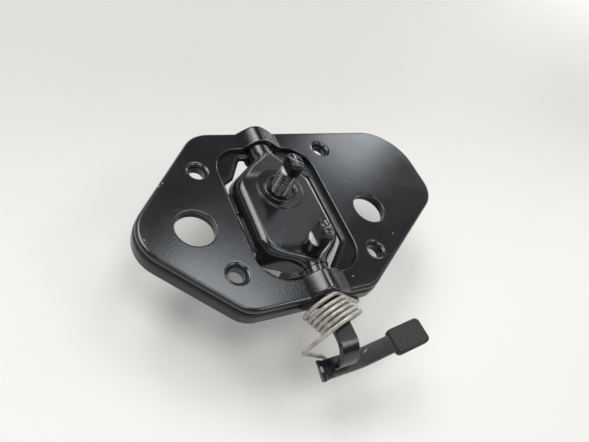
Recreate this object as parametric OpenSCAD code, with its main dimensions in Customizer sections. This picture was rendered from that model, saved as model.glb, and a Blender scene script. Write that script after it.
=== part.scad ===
// Bonnet latch: two pressed plates carry a sprung rocker with a threaded striker
// pin and a safety hook. A finger lever in front swings the rocker against a
// torsion spring. The origin is midway between the two mounting holes, on the
// upper face of the cover plate. X runs through the holes, Y points away from
// the lever and Z points out of the cover plate.

/* [Cover plate] */
// Distance between the two mounting holes, centre to centre
hole_spacing = 80; // [76:0.5:88]
// Diameter of the two mounting holes
mount_hole_d = 15; // [10:0.5:16]
// Thickness of the cover plate
cover_t = 2; // [1.6:0.1:2.4]
// Reach of the short wing's corner from the centre
wing_short = 66; // [63:0.5:72]
// Reach of the long wing from the centre
wing_long = 83; // [78:0.5:92]
// Distance of the far edge from the hole line
edge_far = 45.6; // [44:0.2:48]
// Distance of the near edge from the hole line
edge_near = 35.8; // [35:0.2:38]
// Far edge's end on the short wing's side
far_corner_x = 27.5; // [22:0.5:32]
// Near edge's end on the short wing's side
near_corner_short = 32.2; // [28:0.2:36]
// Near edge's end on the long wing's side
near_corner_long = 22.6; // [18:0.2:26]
// Height of the long wing's lower corner above the hole line
wing_corner_y = 3.2; // [0:0.2:8]

/* [Opening] */
// Width of the central opening
open_w = 45.4; // [44:0.2:48]
// Corner radius of the central opening
open_r = 12; // [8:0.5:14]
// Metal left between the opening and the far or near edge
open_margin = 9.2; // [8.6:0.2:10]

/* [Drawn collars] */
// Bore radius of the drawn collars that join the two plates
collar_r = 3.1; // [2.6:0.1:3.4]
// Wall of a drawn collar
collar_wall = 1.1; // [0.8:0.1:1.4]
// Distance of the collars from the centre line, along X
collar_x = 31.2; // [29:0.2:33]
// Distance of the near pair of collars from the hole line
collar_near = 20.4; // [18:0.2:22]
// Distance of the far collar on the short wing's side from the hole line
collar_far_short = 25.7; // [22:0.2:28]
// Distance of the far collar on the long wing's side from the hole line
collar_far_long = 35.1; // [30:0.2:36]

/* [Base tray] */
// Thickness of the base tray's sheet
tray_t = 1.8; // [1.4:0.1:2.2]
// Depth of the tray's skirt below the cover plate
skirt_h = 6.5; // [5:0.25:7.5]
// How far the tray stands out past the cover plate's edge
tray_over = 0.4; // [0:0.1:0.8]
// How far the tray's opening is smaller than the cover's, near and short-wing sides
tray_lip = 2; // [1.4:0.1:2.4]
// How far it is smaller on the far and long-wing sides
tray_lip_far = 3.6; // [2.6:0.1:3.8]
// Length of the slanting corners of the tray's opening, along X and Y
lip_corner = 13; // [11:0.2:13.4]
// Length of the smaller near corner on the short wing's side
lip_corner_small = 7; // [5:0.5:9]

/* [Rocker] */
// Radius of the rocker's round necks
neck_r = 5.35; // [5:0.05:5.6]
// Running clearance between a neck and its tunnel
neck_gap = 0.05; // [0.03:0.01:0.1]
// Height of the rocker's flat top above the cover plate
rocker_top = 0.8; // [0:0.1:1.5]
// Sheet thickness of the rocker
rocker_t = 2; // [1.6:0.1:2.4]
// Width of the rocker where its flanks begin, at the height of its flat top
rocker_w = 33.8; // [33:0.2:34.2]
// Radius of the rocker's rounded shoulder
shoulder_r = 2.3; // [2:0.1:2.8]
// Depth of the rocker's skirt below the cover plate
rocker_depth = 4.2; // [3.9:0.1:4.5]
// Travel of the rocker between its stops, in degrees
travel = 12; // [8:1:14]

/* [Pins] */
// Nominal diameter of the striker pin's thread
thread_d = 8; // [7:0.5:8]
// Pitch of the striker pin's thread
thread_pitch = 1.25; // [1:0.05:1.5]
// Place of the striker pin along Y
striker_y = 13.4; // [12:0.2:15]
// Height of the striker pin's tip above the cover plate
striker_top = 18.3; // [16:0.1:20]
// Place of the hook's shank along Y
hook_y = -16.7; // [-17.4:0.1:-15.6]
// Height of the hook shank's tip above the cover plate
hook_top = 16.2; // [14:0.1:18]
// Length of the flats at the striker pin's tip
flat_len = 5.6; // [4:0.1:6]
// Width across the flats at the striker pin's tip
flat_w = 5.4; // [4.5:0.1:6.4]
// Length of the flats at the hook shank's tip
hook_flat_len = 6.6; // [5:0.1:7.5]
// Width across the flats at the hook shank's tip
hook_flat_w = 3.8; // [3.2:0.1:5]
// Depth of the striker pin and the hook below the cover plate
below = 40; // [36:0.5:46]

/* [Lever] */
// Width of the strap that carries the lever
strap_w = 7.4; // [6.4:0.2:8]
// Thickness of the strap and of the lever bar
strap_t = 2.4; // [2:0.1:2.6]
// Height of the lever bar's upper face below the cover plate
lever_drop = 12.4; // [11.5:0.1:13]
// Reach of the lever's middle line in front of the hole line
lever_reach = 57.3; // [56:0.1:59]
// Width of the lever bar
lever_w = 7; // [6:0.1:8]
// Length of the lever's tail past the strap's middle
tail_len = 8.2; // [7.4:0.1:10]
// Distance of the lever's bend from the strap's middle
bend_x = 9.6; // [8:0.2:12]
// Upward bend of the finger end, in degrees
bend_up = 10; // [4:1:12]
// Sideways lean of the finger end, in degrees
bend_side = 4; // [0:1:6]
// Length of the bar between the bend and the grip's outer end
finger_len = 30.4; // [26:0.2:36]
// Length of the moulded grip
grip_len = 15; // [12:0.5:18]
// Width of the moulded grip
grip_w = 9.4; // [8.6:0.1:11]
// Thickness of the moulded grip
grip_t = 4; // [3.8:0.1:5]

/* [Return spring] */
// Wire diameter of the return spring
wire_d = 1.6; // [1.2:0.1:1.7]
// Mean radius of the return spring's coils
coil_r = 7.7; // [7.4:0.05:8]
// Pitch of the return spring's coils
coil_pitch = 1.95; // [1.8:0.05:2.1]
// Whole turns of the return spring
coil_turns = 5; // [4:1:5]

/* [Hidden] */
$fn = 64;
eps = 0.01;
// Clearances: pin in a drilled hole, one piece beside another, stop at rest
hole_gap = 0.05;
side_gap = 0.3;
stop_gap = 0.3;
coat = [0.12, 0.12, 0.13];

// The plates meet on the plane of the rocker's axis
axis_z = -cover_t;
tunnel_r = neck_r + neck_gap;
tray_floor = axis_z - tray_t;
skirt_z = axis_z - skirt_h;
hump_root_r = 1.6;

// Outline corners as [x, y, corner radius], counter-clockwise
outline = [
  [-wing_short, -1, 15],
  [-near_corner_short, -edge_near, 11],
  [near_corner_long, -edge_near, 10],
  [wing_long, wing_corner_y, 16],
  [wing_long, edge_far, 22],
  [-far_corner_x, edge_far, 14]];
open_far = edge_far - open_margin;
open_near = -edge_near + open_margin;
collars = [
  [-collar_x, collar_far_short],
  [collar_x, collar_far_long],
  [collar_x, -collar_near],
  [-collar_x, -collar_near]];
collar_out = collar_r + collar_wall;
collar_flare = 1;

// The rocker narrows over this length to a neck at each end
rocker_gap = 0.9;
rocker_far = open_far - tray_lip_far - rocker_gap;
rocker_near = open_near + tray_lip + rocker_gap;
rocker_taper = 13;
// How far the flanks lean out for each mm that they go down
flank_lean = 0.35;
root_r = neck_r + 0.4;
lug_y = 7;
lug_w = 10;
taper_steps = 10;
arc_steps = 6;
rocker_inner = rocker_top - rocker_t;
boss_r = [10.1, 7.4];
boss_h = [0.45, 0.9];
cup_r = [4.7, 6.3];
cup_d = 1.5;
pin_r = thread_d / 2;
nut_af = thread_d * 13 / 8;
weld_nut_h = thread_d * 0.8;
lock_nut_h = thread_d * 0.5;
striker_head_r = pin_r + 2.5;
striker_head_h = 4.5;

// The strap's middle line, seen from the side as [y, z]: out along the axis,
// down through two bends and out again above the lever
strap_root = -edge_near;
foot_z = -lever_drop + strap_t / 2;
foot_end = -lever_reach - lever_w / 2 + 1;
strap_bend_r = 4.2;
strap_bend = 68;
strap_run = strap_bend_r * sin(strap_bend);
strap_fall = strap_bend_r * (1 - cos(strap_bend));
slope_fall = axis_z - foot_z - 2 * strap_fall;
slope_run = slope_fall / tan(strap_bend);
foot_start = foot_end + 2.6;
strap_level_end = foot_start + 2 * strap_run + slope_run;

// Bends of the strap as [centre y, centre z, first angle, last angle]
bend_steps = 8;
bend_1 = [strap_level_end, axis_z - strap_bend_r, 90, 90 + strap_bend];
bend_2 = [foot_start, foot_z + strap_bend_r, strap_bend - 90, -90];

// Return spring: the coil hangs a little low and askew on the strap
coil_x = -2.1;
coil_y = -edge_near - tray_over - 1.9 - wire_d / 2;
coil_z = -3.9;
coil_yaw = 10;
coil_lift = 5;
coil_axis = [sin(coil_yaw) * cos(coil_lift), -cos(coil_yaw) * cos(coil_lift), sin(coil_lift)];
coil_side = [cos(coil_yaw), sin(coil_yaw), 0];
coil_up = cross(coil_axis, coil_side);
anchor_z = skirt_z - wire_d / 2 - 0.1;
anchor = [18, coil_y + 1.4, anchor_z];
anchor_in = [18.6, -edge_near + 2.6, anchor_z];
anchor_vec = [anchor[0] - coil_x, anchor[2] - coil_z];
start_a = atan2(anchor_vec[1], anchor_vec[0]) + acos(coil_r / norm(anchor_vec));
// As many of the coil's turns as the level part of the strap has room for
turns = max(1, min(coil_turns, floor((coil_y - strap_level_end + 1.5) / coil_pitch)));
leave_a = 360 * turns + 130;
spring_bend = [-15.2, coil_y - coil_pitch * turns - 2.05, -8.6];
tab_under = -lever_drop - strap_t - wire_d / 2 - side_gap;
spring_hook = [-2.8, -lever_reach + lever_w / 2 + wire_d, tab_under];
spring_end = [-1.8, -lever_reach - 1.6, tab_under];

// Helpers for outlines with a radius at each corner
function unit(v) = v / norm(v);
function xy(c) = [c[0], c[1]];
function half_angle(a, p, b) = acos(unit(a - p) * unit(b - p)) / 2;
function corner(c, i) =
  let (n = len(c), a = xy(c[(i + n - 1) % n]), p = xy(c[i]), b = xy(c[(i + 1) % n]))
  [a, p, b, c[i][2], half_angle(a, p, b)];

// Convex outline through [x, y, radius] corners, grown outwards by g
module round_poly(c, g = 0)
{
  k = [for (i = [0:len(c) - 1]) corner(c, i)];
  centres = [for (q = k) q[1] + unit(unit(q[0] - q[1]) + unit(q[2] - q[1])) * q[3] / sin(q[4])];
  sides = [for (q = k) let (n = unit([q[2][1] - q[1][1], q[1][0] - q[2][0]])) n];
  n = len(c);
  // The straight sides lie a hair inside the arcs, so that the two cross cleanly
  in = g - 0.004;
  polygon([for (i = [0:n - 1])
    each [centres[i] + sides[(i + n - 1) % n] * (k[i][3] + in),
      centres[i] + sides[i] * (k[i][3] + in)]]);
  for (i = [0:n - 1])
    translate(centres[i])
      circle(r = k[i][3] + g);
}

// Rounded rectangle of the cover's opening
module cover_opening()
{
  x = open_w / 2;
  r = open_r;
  round_poly([[-x, open_near, r], [x, open_near, r], [x, open_far, r], [-x, open_far, r]]);
}

// The tray's smaller opening, with slanting corners that follow the rocker and give
// its rim room to rise on the long wing's side; a blunt tab stands into the far
// corner on the short wing's side
module tray_opening()
{
  x0 = -open_w / 2 + tray_lip;
  x1 = open_w / 2 - tray_lip_far;
  y0 = open_near + tray_lip;
  y1 = open_far - tray_lip_far;
  c = lip_corner;
  b = c - 0.8;
  d = lip_corner_small;
  r = 4;
  tab_x = x0 + 0.35 * c;
  tab_y = y1 - 0.75 * c;
  difference() {
    round_poly([[x0, y0 + d, r], [x0 + d, y0, r], [x1 - b, y0, r], [x1, y0 + b, r],
      [x1, y1 - b, r], [x1 - b, y1, r], [x0 + c, y1, r], [x0, y1 - c, r]]);
    polygon([[x0 - 1, y1 - c], [tab_x, tab_y], [x0 + 0.83 * c, y1 + 0.1], [x0 - 1, y1 + 1]]);
  }
}

// Cylinder along Y between two stations, on the rocker's axis
module along_y(r, y0, y1)
{
  translate([0, y1, axis_z])
    rotate([90, 0, 0])
      cylinder(r = r, h = y1 - y0);
}

// Section of a tunnel hump, standing on the plane of the rocker's axis
module hump_section(t)
{
  r = tunnel_r + t;
  foot = sqrt(pow(r + hump_root_r - 0.05, 2) - pow(t + hump_root_r, 2));
  intersection() {
    circle(r = r);
    translate([-r, 0])
      square([2 * r, r]);
  }
  difference() {
    translate([-foot, 0])
      square([2 * foot, t + hump_root_r * (1 - (t + hump_root_r) / (r + hump_root_r))]);
    for (s = [-1, 1])
      translate([s * foot, t + hump_root_r])
        circle(r = hump_root_r);
  }
}

// Both humps of one plate, side 1 pressed up and side -1 pressed down; they run
// from the plate's outer edge past the cover's opening by a and b
module humps(t, side, over, a = 0, b = 0)
{
  for (span = [[open_far - b, edge_far + over], [-edge_near - over, open_near + a]])
    translate([0, span[1], axis_z])
      rotate([90, 0, 0])
        mirror([0, side < 0 ? 1 : 0])
          linear_extrude(span[1] - span[0])
            hump_section(t);
}

// Cylinders of the two mounting holes
module mount_holes(r)
{
  for (s = [-1, 1])
    translate([s * hole_spacing / 2, 0, skirt_z - 2])
      cylinder(r = r, h = -skirt_z + 4);
}

// Drawn collar: rounded mouth, straight bore and a flare under the tray
module collar()
{
  mouth = 1.3;
  low = tray_floor - collar_flare;
  rotate_extrude()
    difference() {
      union() {
        translate([collar_r, low])
          square([collar_wall, -low]);
        translate([collar_r, low])
          square([collar_wall + collar_flare, collar_flare - eps]);
        translate([collar_r, -mouth])
          square([mouth + 0.4, mouth]);
      }
      translate([collar_r, -mouth])
        difference() {
          translate([-1, 0])
            square([mouth + 1, mouth + 1]);
          translate([mouth, 0])
            circle(r = mouth);
        }
    }
}

// Upper plate with the opening, two humps and the drawn collars
module cover_plate()
{
  color(coat)
    union() {
      difference() {
        union() {
          translate([0, 0, -cover_t])
            linear_extrude(cover_t)
              difference() {
                round_poly(outline);
                cover_opening();
              }
          humps(cover_t, 1, 0);
        }
        along_y(tunnel_r, -edge_near - 1, edge_far + 1);
        mount_holes(mount_hole_d / 2);
        for (c = collars)
          translate([c[0], c[1], -cover_t - 1])
            cylinder(r = collar_out, h = cover_t + 2);
      }
      for (c = collars)
        translate([c[0], c[1], 0])
          collar();
    }
}

// Lower plate: a shallow tray with a turned-down skirt and the tunnels' lower halves
module base_tray()
{
  color(coat)
    difference() {
      union() {
        translate([0, 0, tray_floor])
          linear_extrude(tray_t)
            difference() {
              round_poly(outline, tray_over);
              tray_opening();
            }
        translate([0, 0, skirt_z])
          linear_extrude(skirt_h)
            difference() {
              round_poly(outline, tray_over);
              round_poly(outline, tray_over - tray_t);
            }
        humps(tray_t, -1, tray_over, tray_lip + 3, tray_lip_far + 3);
      }
      along_y(tunnel_r, -edge_near - 3, edge_far + 3);
      translate([0, 0, tray_floor - 20])
        linear_extrude(20 + tray_t + eps)
          tray_opening();
      mount_holes(mount_hole_d / 2);
      for (c = collars)
        translate([c[0], c[1], tray_floor - 1])
          cylinder(r = collar_out + hole_gap, h = tray_t + 2);
    }
}

// Ramp from 0 to 1, straight in the middle and rounded at both ends
function ramp(u, a = 0.25) =
  let (k = 2 * a * (1 - a))
  u <= 0 ? 0 : u >= 1 ? 1 : u < a ? u * u / k : u > 1 - a ? 1 - (1 - u) * (1 - u) / k
    : (u - a / 2) / (1 - a);
function mix(a, b, t) = a + (b - a) * t;
function arc(x, z, r, a) =
  [for (i = [0:arc_steps]) [x + r * cos(a + 90 * i / arc_steps), z + r * sin(a + 90 * i / arc_steps)]];

// Section of the rocker as [x, z] points: a broad rounded box at u = 0 and a round
// neck at u = 1, inset by s from the outer skin; the inset one runs out below
function rocker_section(u, s) =
  let (n = ramp(u), up = ramp((u - 0.5) / 0.5),
    w = mix(rocker_w / 2, root_r, n) - s,
    top = mix(rocker_top, axis_z + root_r, up) - s,
    low = mix(-rocker_depth - (s > 0 ? 5 : 0), axis_z - root_r + s, up),
    rt = min(max(mix(shoulder_r, root_r, n) - s, 0.3), (top - low) / 2),
    rb = min(mix(0.4, root_r - s, up), (top - low) / 2),
    half = concat(arc(w - rt, top - rt, rt, 0), arc(rt - w, top - rt, rt, 90),
      arc(rb - w, low + rb, rb, 180), arc(w - rb, low + rb, rb, 270)))
  [for (p = half) [p[0] + sign(p[0]) * flank_lean * (1 - up) * (top + s - p[1]), p[1]]];

// Sections of the rocker along Y, from the near neck to the far neck; the inset
// ones stop short, so that a wall is left round each neck
function rocker_rows(s) = concat(
  [for (i = [0:taper_steps]) [rocker_near + s / 2 + rocker_taper * i / taper_steps,
    rocker_section(1 - i / taper_steps, s)]],
  [for (i = [0:taper_steps]) [rocker_far - s / 2 - rocker_taper * (1 - i / taper_steps),
    rocker_section(i / taper_steps, s)]]);

// Solid skinned through rows of equal length, each [y, section]
module loft(rows)
{
  n = len(rows[0][1]);
  m = len(rows);
  pts = [for (r = rows) for (p = r[1]) [p[0], r[0], p[1]]];
  walls = [for (i = [0:m - 2]) for (j = [0:n - 1]) let (k = (j + 1) % n)
    each [[i * n + j, i * n + k, (i + 1) * n + k], [i * n + j, (i + 1) * n + k, (i + 1) * n + j]]];
  first = [for (j = [n - 1:-1:0]) j];
  last = [for (j = [0:n - 1]) (m - 1) * n + j];
  polyhedron(points = pts, faces = concat(walls, [first, last]), convexity = 6);
}

// Hollow form of the rocker, open below
module rocker_shell()
{
  difference() {
    loft(rocker_rows(0));
    loft(rocker_rows(rocker_t));
  }
}

// Middle line of one bend as [y, z] points, offset outwards by d
function bend_points(b, d) =
  [for (i = [0:bend_steps]) let (a = b[2] + (b[3] - b[2]) * i / bend_steps)
    [b[0] + (strap_bend_r + d) * cos(a), b[1] + (strap_bend_r + d) * sin(a)]];

// Strap: level run, S bend and foot
module strap()
{
  h = strap_t / 2;
  top = concat([[strap_root + 3, axis_z + h]], bend_points(bend_1, h), bend_points(bend_2, -h),
    [[foot_end, foot_z + h]]);
  low = concat([[strap_root + 3, axis_z - h]], bend_points(bend_1, -h), bend_points(bend_2, h),
    [[foot_end, foot_z - h]]);
  rev = [for (i = [len(low) - 1:-1:0]) low[i]];
  translate([-strap_w / 2, 0, 0])
    rotate([90, 0, 90])
      linear_extrude(strap_w)
        polygon(concat(top, rev));
}

// Stop lug that hangs from the rocker's rim and reaches under the tray, side -1 rests
// and side 1 ends the travel
module stop_lug(side)
{
  reach = open_w / 2 - (side > 0 ? tray_lip_far : tray_lip) + 3;
  root = rocker_w / 2 - rocker_t + flank_lean * (rocker_top + rocker_depth) + 0.05;
  drop = side > 0 ? reach * sin(travel) : 0;
  top = tray_floor - stop_gap - drop;
  mirror([side > 0 ? 0 : 1, 0, 0])
    translate([root, lug_y, top - rocker_t]) {
      cube([reach - root, lug_w, rocker_t]);
      cube([rocker_t - 0.6, lug_w, 1.2 - rocker_depth - top + rocker_t]);
    }
}

// Rocker: domed shell, two round necks, strap and stops in one pressing
module rocker()
{
  color(coat)
    difference() {
      union() {
        rocker_shell();
        along_y(neck_r, rocker_far - 0.4, edge_far);
        along_y(neck_r, strap_root - 0.4, rocker_near + 0.4);
        for (i = [0, 1])
          translate([0, striker_y, rocker_inner + rocker_t / 2])
            cylinder(r = boss_r[i], h = rocker_t / 2 + boss_h[i]);
        strap();
        stop_lug(-1);
        stop_lug(1);
      }
      along_y(neck_r - rocker_t, rocker_far - 2, edge_far + 1);
      along_y(neck_r - rocker_t, strap_root + 2.5, rocker_near + 2);
      translate([0, striker_y, rocker_inner - 1])
        cylinder(r = pin_r + hole_gap, h = rocker_t + 4);
      translate([0, striker_y, rocker_top + boss_h[1] - cup_d])
        cylinder(r1 = cup_r[0], r2 = 2 * cup_r[1] - cup_r[0], h = 2 * cup_d);
      translate([0, hook_y, rocker_inner - 1])
        cylinder(r = pin_r + hole_gap, h = rocker_t + 6);
    }
}

// Two flats cut on a pin's tip, leaving a half-round ledge on each side
module tip_flats(top, w, len)
{
  for (s = [-1, 1])
    translate([s * (w / 2 + 5), 0, top - len / 2 + 2])
      cube([10, 20, len + 4], center = true);
}

// Ridged profile of a thread between two heights, as points beside the axis
function thread_points(z0, z1) =
  let (n = floor((z1 - z0) / thread_pitch), root = pin_r - 0.61 * thread_pitch)
  [for (i = [0:n - 1]) let (z = z0 + (z1 - z0) * i / n, p = (z1 - z0) / n)
    each [[root, z], [root, z + p * 0.12], [pin_r, z + p * 0.46], [pin_r, z + p * 0.66]]];

// Striker pin: flatted tip, adjusting thread, waist and coned striker head
module striker_pin()
{
  tip = 0.8;
  thread_top = striker_top - flat_len;
  thread_low = rocker_inner - weld_nut_h - lock_nut_h - 2 * thread_pitch;
  head_top = -below + striker_head_h;
  waist_r = pin_r - 0.8;
  waist_top = head_top + 2.2 * pin_r;
  color(coat)
    difference() {
      translate([0, striker_y, 0])
        rotate_extrude()
          polygon(concat(
            [[0, -below], [2.5, -below], [striker_head_r, head_top - 1.5], [striker_head_r, head_top],
              [waist_r, head_top + 0.8], [waist_r, waist_top], [pin_r, waist_top + 0.8], [pin_r, thread_low]],
            thread_points(thread_low, thread_top),
            [[pin_r, thread_top], [pin_r, striker_top - tip], [pin_r - tip, striker_top], [0, striker_top]]));
      translate([0, striker_y, 0])
        tip_flats(striker_top, flat_w, flat_len);
    }
}

// Hexagon nut around the striker pin, from its upper face down
module hex_nut(top, h)
{
  translate([0, striker_y, top - h])
    difference() {
      intersection() {
        cylinder(d = nut_af * 2 / sqrt(3), h = h, $fn = 6);
        rotate_extrude()
          polygon([[0, 0], [nut_af / 2, 0], [nut_af / 2 + 1, 0.7], [nut_af / 2 + 1, h - 0.7],
            [nut_af / 2, h], [0, h]]);
      }
      translate([0, 0, -1])
        cylinder(r = pin_r + hole_gap, h = h + 2);
    }
}

// Nut welded under the rocker's top
module weld_nut()
{
  color([0.16, 0.16, 0.17])
    hex_nut(rocker_inner, weld_nut_h);
}

// Thin nut that locks the striker pin against the weld nut
module lock_nut()
{
  color([0.5, 0.5, 0.5])
    hex_nut(rocker_inner - weld_nut_h, lock_nut_h);
}

// Safety hook: round shank with a flatted tip, collar and forged hook blade
module safety_hook()
{
  tip = pin_r * 0.2;
  collar_r = pin_r * 1.3;
  collar_z = rocker_inner - pin_r * 0.75;
  blade_t = pin_r * 1.1;
  blade_z = collar_z + 0.5;
  root_x = pin_r * 1.2;
  back_x = pin_r * 1.6;
  throat_x = -pin_r * 0.65;
  catch_x = -pin_r * 2.75;
  catch_z = -below + pin_r * 1.75;
  color(coat)
    difference() {
      union() {
        translate([0, hook_y, 0])
          rotate_extrude()
            polygon([[0, collar_z], [collar_r, collar_z], [collar_r, rocker_inner],
              [pin_r, rocker_inner], [pin_r, hook_top - tip], [pin_r - tip, hook_top], [0, hook_top]]);
        translate([0, hook_y + blade_t / 2, 0])
          rotate([90, 0, 0])
            linear_extrude(blade_t)
              polygon([[-root_x, blade_z], [root_x, blade_z], [back_x, blade_z - pin_r],
                [back_x, -below + pin_r * 0.75], [pin_r, -below + pin_r / 8], [0, -below],
                [throat_x * 2, -below + pin_r / 4], [catch_x, catch_z - pin_r / 2], [catch_x, catch_z],
                [throat_x - pin_r / 4, catch_z], [throat_x, catch_z + pin_r / 4]]);
      }
      translate([0, hook_y, 0])
        tip_flats(hook_top, hook_flat_w, hook_flat_len);
    }
}

// Frame of the finger end: bent up and leaning sideways at the bend line
module finger_frame()
{
  translate([bend_x, -lever_reach, -lever_drop])
    rotate([0, -bend_up, bend_side])
      children();
}

// Lever bar: tail and middle under the strap's foot, finger end bent up
module lever()
{
  blend = strap_t * tan(bend_up) + 1;
  color(coat)
    union() {
      translate([-tail_len, -lever_reach - lever_w / 2, -lever_drop - strap_t])
        cube([tail_len + bend_x, lever_w, strap_t]);
      translate([bend_x, -lever_reach, -lever_drop - strap_t])
        cylinder(d = lever_w, h = strap_t);
      finger_frame()
        translate([-blend / 2, -lever_w / 2, -strap_t])
          cube([finger_len - 1.6 + blend / 2, lever_w, strap_t]);
    }
}

// Grip moulded round the end of the lever
module finger_grip()
{
  r = 2;
  color([0.13, 0.14, 0.12])
    finger_frame()
      difference() {
        translate([finger_len - grip_len, 0, -strap_t / 2 - grip_t / 2])
          linear_extrude(grip_t)
            round_poly([[0, -grip_w / 2, r], [grip_len, -grip_w / 2, r], [grip_len, grip_w / 2, r],
              [0, grip_w / 2, r]]);
        translate([0, -lever_w / 2, -strap_t])
          cube([finger_len - 1.6, lever_w, strap_t]);
      }
}

// Points along the return spring's wire, from the anchored leg to the hooked end
coil_steps = 20 * turns;
function coil_point(a) = [coil_x, coil_y, coil_z] + coil_axis * coil_pitch * (a - start_a) / 360
  + (coil_side * cos(a) + coil_up * sin(a)) * coil_r;
function blend3(a, b, t) = a + (b - a) * t;
function rounded(a, b, c, d) =
  let (p = b + unit(a - b) * d, q = b + unit(c - b) * d)
  [for (t = [0:0.25:1]) blend3(blend3(p, b, t), blend3(b, q, t), t)];
wire_path = concat(
  [anchor_in],
  rounded(anchor_in, anchor, coil_point(start_a), 2.2),
  [for (i = [0:coil_steps]) coil_point(start_a + (leave_a - start_a) * i / coil_steps)],
  rounded(coil_point(leave_a), spring_bend, spring_hook, 2),
  rounded(spring_bend, spring_hook, spring_end, 2),
  [spring_end]);

// Round wire swept along a path, with frames carried from ring to ring
module wire(path, d, sides = 8)
{
  n = len(path);
  dir = [for (i = [0:n - 1]) unit(path[min(i + 1, n - 1)] - path[max(i - 1, 0)])];
  nrm = [for (i = 0, v = unit(cross(dir[0], [0.3, 0.2, 1])); i < n; i = i + 1,
    v = i < n ? unit(v - dir[i] * (v * dir[i])) : v) v];
  pts = [for (i = [0:n - 1]) let (u = nrm[i], w = cross(dir[i], u))
    for (j = [0:sides - 1]) path[i] + (u * cos(360 * j / sides) + w * sin(360 * j / sides)) * d / 2];
  walls = [for (i = [0:n - 2]) for (j = [0:sides - 1])
    [i * sides + j, (i + 1) * sides + j, (i + 1) * sides + (j + 1) % sides, i * sides + (j + 1) % sides]];
  first = [for (j = [0:sides - 1]) j];
  last = [for (j = [sides - 1:-1:0]) (n - 1) * sides + j];
  polyhedron(points = pts, faces = concat(walls, [first, last]), convexity = 10);
}

// Torsion spring that returns the rocker to its stop
module return_spring()
{
  color([0.72, 0.7, 0.64])
    wire(wire_path, wire_d);
}

cover_plate();
base_tray();
rocker();
striker_pin();
weld_nut();
lock_nut();
safety_hook();
lever();
finger_grip();
return_spring();
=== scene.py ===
"""Looks of the bonnet latch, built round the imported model. Lengths are in mm until a piece is made."""
import math

import bmesh
import bpy
from mathutils import Matrix, Vector, noise


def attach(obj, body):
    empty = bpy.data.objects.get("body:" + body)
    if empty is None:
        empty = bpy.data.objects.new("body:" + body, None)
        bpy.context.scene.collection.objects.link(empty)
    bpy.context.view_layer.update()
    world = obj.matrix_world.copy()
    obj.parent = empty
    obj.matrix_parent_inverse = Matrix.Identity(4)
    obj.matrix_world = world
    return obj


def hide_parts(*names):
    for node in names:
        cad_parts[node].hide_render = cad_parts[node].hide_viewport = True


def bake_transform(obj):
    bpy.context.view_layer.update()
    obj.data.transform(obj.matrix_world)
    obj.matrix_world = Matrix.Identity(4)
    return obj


# The same knocks and tears in every run
noise.seed_set(5)
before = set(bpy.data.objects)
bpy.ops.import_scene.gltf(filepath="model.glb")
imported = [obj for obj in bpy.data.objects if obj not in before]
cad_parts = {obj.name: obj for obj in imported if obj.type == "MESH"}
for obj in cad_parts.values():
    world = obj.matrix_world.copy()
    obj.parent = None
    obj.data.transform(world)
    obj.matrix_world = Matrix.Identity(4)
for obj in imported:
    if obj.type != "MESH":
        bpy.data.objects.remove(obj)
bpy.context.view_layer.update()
scene = bpy.context.scene
MM = 0.001

# Sizes of the CAD model; an outline's corners are (x, y, radius)
AXIS_Z = -2.0
TUNNEL_R = 5.4
OUTLINE = [(-66, -1, 15), (-32.2, -35.8, 11), (22.6, -35.8, 10),
           (83, 3.2, 16), (83, 45.6, 22), (-27.5, 45.6, 14)]
OPENING = [(-22.7, -26.6, 12), (22.7, -26.6, 12), (22.7, 36.4, 12), (-22.7, 36.4, 12)]
TRAY_OPENING = [(-20.7, -17.6, 4), (-13.7, -24.6, 4), (6.9, -24.6, 4), (19.1, -12.4, 4),
                (19.1, 20.6, 4), (6.9, 32.8, 4), (-9.9, 32.8, 1.5), (-16.15, 23.05, 1.5), (-20.7, 20.3, 1.5)]
COLLARS = [(-31.2, 25.7), (31.2, 35.1), (-31.2, -20.4), (31.2, -20.4)]
COLLAR_R = 3.1
MOUNT_HOLES = [(-40, 0), (40, 0)]
MOUNT_R = 7.5
ROCKER_FAR, ROCKER_NEAR, ROCKER_TAPER = 31.9, -23.7, 13.0
ROCKER_W, ROCKER_TOP, ROCKER_LOW, ROCKER_T = 16.9, 0.8, -4.2, 2.0
SHOULDER_R, ROOT_R, NECK_R, FLANK_LEAN, FLANK_MORE = 2.8, 5.75, 5.35, 0.35, 2.8
STRIKER_Y, HOOK_Y = 13.4, -16.7
BELOW = -40.0
LEVER_Y = -57.3
LEVER_TOP, LEVER_T, LEVER_W = -12.4, 2.4, 7.0
PIN_R, PITCH, THREAD_ROOT_R = 4.0, 1.25, 3.28


def mix(a, b, t):
    return a + (b - a) * t


def ease(t):
    t = min(max(t, 0.0), 1.0)
    return t * t * (3 - 2 * t)


def ramp(u, a=0.25):
    """From 0 to 1 with a straight middle, as in the CAD source."""
    k = 2 * a * (1 - a)
    if u <= 0:
        return 0.0
    if u >= 1:
        return 1.0
    if u < a:
        return u * u / k
    if u > 1 - a:
        return 1 - (1 - u) ** 2 / k
    return (u - a / 2) / (1 - a)


# Mesh helpers


AROUND = 96


def skin(bm, rows, caps=True):
    """Faces between closed rows of points, with a face at each end."""
    grid = [[bm.verts.new(p) for p in row] for row in rows]
    n = len(grid[0])
    for a, b in zip(grid, grid[1:]):
        for i in range(n):
            j = (i + 1) % n
            bm.faces.new((a[i], a[j], b[j], b[i]))
    if caps:
        bm.faces.new(list(reversed(grid[0])))
        bm.faces.new(grid[-1])
    return grid


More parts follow.
